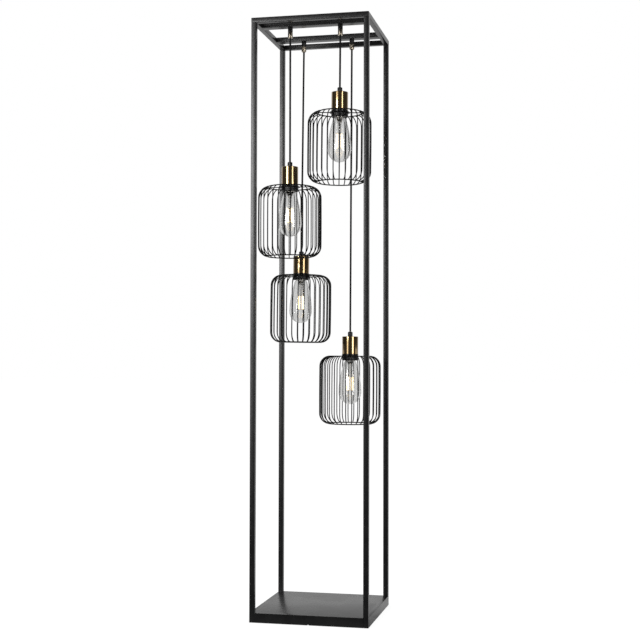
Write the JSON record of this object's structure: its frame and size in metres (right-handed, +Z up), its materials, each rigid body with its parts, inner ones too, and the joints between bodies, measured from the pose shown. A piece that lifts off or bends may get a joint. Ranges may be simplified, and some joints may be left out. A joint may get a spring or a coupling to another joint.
{
  "type": "floor lamp",
  "caption": "Floor lamp: an open square-tube frame on a weighted base, from whose top pendants with wire cage shades, brass covers and clear bulbs hang on cords at staggered heights.",
  "frame": {"origin": "centre of the base's underside, on the floor", "axes": "+Z up, +X to the right and -Y to the front as the lamp is seen"},
  "size_m": [0.3037, 0.3175, 1.51],
  "materials": {
    "frame_black": "fine textured satin powder coat",
    "shade_black": "satin powder coat",
    "cover_sheet": "matt",
    "ballast_steel": "raw plate",
    "screw_steel": "zinc plated",
    "floor_pad": "foamed, matt",
    "black_plastic": "satin",
    "terminal_plastic": "plain",
    "wire_insulation": "plain",
    "cord_black": "woven cover",
    "brass": "brushed antique, lacquered",
    "bulb_glass": "clear",
    "bulb_metal": "satin"
  },
  "bodies": {
    "frame": {"post_front_left": "frame_black", "post_front_right": "frame_black", "post_rear_left": "frame_black", "post_rear_right": "frame_black", "top_rail_front": "frame_black", "top_rail_rear": "frame_black", "top_rail_left": "frame_black", "top_rail_right": "frame_black", "crossbar_front": "frame_black", "crossbar_rear": "frame_black", "base_tray": "frame_black", "bottom_cover": "cover_sheet", "ballast_plate": "ballast_steel", "floor_pad": "floor_pad", "cover_screws": "screw_steel", "lead_grommet": "black_plastic", "inlet_terminal": "terminal_plastic", "crossbar_terminals": "terminal_plastic", "inner_wiring": "wire_insulation", "cord_grips": "black_plastic"},
    "nut_upper_right": {"grip_nut_upper_right": "brass"},
    "cord_upper_right": {"cord_upper_right": "cord_black"},
    "pendant_upper_right": {"cord_cap_upper_right": "black_plastic", "brass_cover_upper_right": "brass", "lampholder_upper_right": "black_plastic", "shade_ring_upper_right": "black_plastic", "shade_wires_upper_right": "shade_black", "shade_end_rings_upper_right": "shade_black"},
    "bulb_upper_right": {"bulb_glass_upper_right": "bulb_glass", "bulb_base_upper_right": "bulb_metal"},
    "nut_upper_left": {"grip_nut_upper_left": "brass"},
    "cord_upper_left": {"cord_upper_left": "cord_black"},
    "pendant_upper_left": {"cord_cap_upper_left": "black_plastic", "brass_cover_upper_left": "brass", "lampholder_upper_left": "black_plastic", "shade_ring_upper_left": "black_plastic", "shade_wires_upper_left": "shade_black", "shade_end_rings_upper_left": "shade_black"},
    "bulb_upper_left": {"bulb_glass_upper_left": "bulb_glass", "bulb_base_upper_left": "bulb_metal"},
    "nut_lower_left": {"grip_nut_lower_left": "brass"},
    "cord_lower_left": {"cord_lower_left": "cord_black"},
    "pendant_lower_left": {"cord_cap_lower_left": "black_plastic", "brass_cover_lower_left": "brass", "lampholder_lower_left": "black_plastic", "shade_ring_lower_left": "black_plastic", "shade_wires_lower_left": "shade_black", "shade_end_rings_lower_left": "shade_black"},
    "bulb_lower_left": {"bulb_glass_lower_left": "bulb_glass", "bulb_base_lower_left": "bulb_metal"},
    "nut_lower_right": {"grip_nut_lower_right": "brass"},
    "cord_lower_right": {"cord_lower_right": "cord_black"},
    "pendant_lower_right": {"cord_cap_lower_right": "black_plastic", "brass_cover_lower_right": "brass", "lampholder_lower_right": "black_plastic", "shade_ring_lower_right": "black_plastic", "shade_wires_lower_right": "shade_black", "shade_end_rings_lower_right": "shade_black"},
    "bulb_lower_right": {"bulb_glass_lower_right": "bulb_glass", "bulb_base_lower_right": "bulb_metal"}
  },
  "joints": [
    {"name": "swing_upper_right", "type": "hinge", "parent": "frame", "child": "cord_upper_right", "pos_m": [0.065, -0.085, 1.4695], "axis": [0, -1, 0], "range_deg": [-4, 1.8]},
    {"name": "twist_upper_right", "type": "hinge", "parent": "cord_upper_right", "child": "pendant_upper_right", "pos_m": [0.06408, -0.085, 1.338], "axis": [0.007, 0, 1], "range_deg": [-180, 180]},
    {"name": "unscrew_bulb_upper_right", "type": "hinge", "parent": "pendant_upper_right", "child": "bulb_upper_right", "pos_m": [0.06355, -0.085, 1.26161], "axis": [-0.007, 0, -1], "continuous": true},
    {"name": "undo_nut_upper_right", "type": "hinge", "parent": "frame", "child": "nut_upper_right", "pos_m": [0.065, -0.085, 1.4771], "axis": [0, 0, -1], "continuous": true},
    {"name": "swing_upper_left", "type": "hinge", "parent": "frame", "child": "cord_upper_left", "pos_m": [-0.065, -0.085, 1.4695], "axis": [0, -1, 0], "range_deg": [-0.9, 3.6]},
    {"name": "twist_upper_left", "type": "hinge", "parent": "cord_upper_left", "child": "pendant_upper_left", "pos_m": [-0.065, -0.085, 1.153], "axis": [0, 0, 1], "range_deg": [-180, 180]},
    {"name": "unscrew_bulb_upper_left", "type": "hinge", "parent": "pendant_upper_left", "child": "bulb_upper_left", "pos_m": [-0.065, -0.085, 1.0766], "axis": [0, 0, -1], "continuous": true},
    {"name": "undo_nut_upper_left", "type": "hinge", "parent": "frame", "child": "nut_upper_left", "pos_m": [-0.065, -0.085, 1.4771], "axis": [0, 0, -1], "continuous": true},
    {"name": "swing_lower_left", "type": "hinge", "parent": "frame", "child": "cord_lower_left", "pos_m": [-0.065, 0.065, 1.4695], "axis": [0, -1, 0], "range_deg": [-2, 2.6]},
    {"name": "twist_lower_left", "type": "hinge", "parent": "cord_lower_left", "child": "pendant_lower_left", "pos_m": [-0.07057, 0.065, 0.93803], "axis": [0.0105, 0, 0.9999], "range_deg": [-180, 180]},
    {"name": "unscrew_bulb_lower_left", "type": "hinge", "parent": "pendant_lower_left", "child": "bulb_lower_left", "pos_m": [-0.07137, 0.065, 0.86163], "axis": [-0.0105, 0, -0.9999], "continuous": true},
    {"name": "undo_nut_lower_left", "type": "hinge", "parent": "frame", "child": "nut_lower_left", "pos_m": [-0.065, 0.065, 1.4771], "axis": [0, 0, -1], "continuous": true},
    {"name": "swing_lower_right", "type": "hinge", "parent": "frame", "child": "cord_lower_right", "pos_m": [0.065, 0.065, 1.4695], "axis": [0, -1, 0], "range_deg": [-2.5, 2.2]},
    {"name": "twist_lower_right", "type": "hinge", "parent": "cord_lower_right", "child": "pendant_lower_right", "pos_m": [0.06175, 0.065, 0.72501], "axis": [0.0044, 0, 1], "range_deg": [-180, 180]},
    {"name": "unscrew_bulb_lower_right", "type": "hinge", "parent": "pendant_lower_right", "child": "bulb_lower_right", "pos_m": [0.06142, 0.065, 0.64861], "axis": [-0.0044, 0, -1], "continuous": true},
    {"name": "undo_nut_lower_right", "type": "hinge", "parent": "frame", "child": "nut_lower_right", "pos_m": [0.065, 0.065, 1.4771], "axis": [0, 0, -1], "continuous": true}
  ]
}
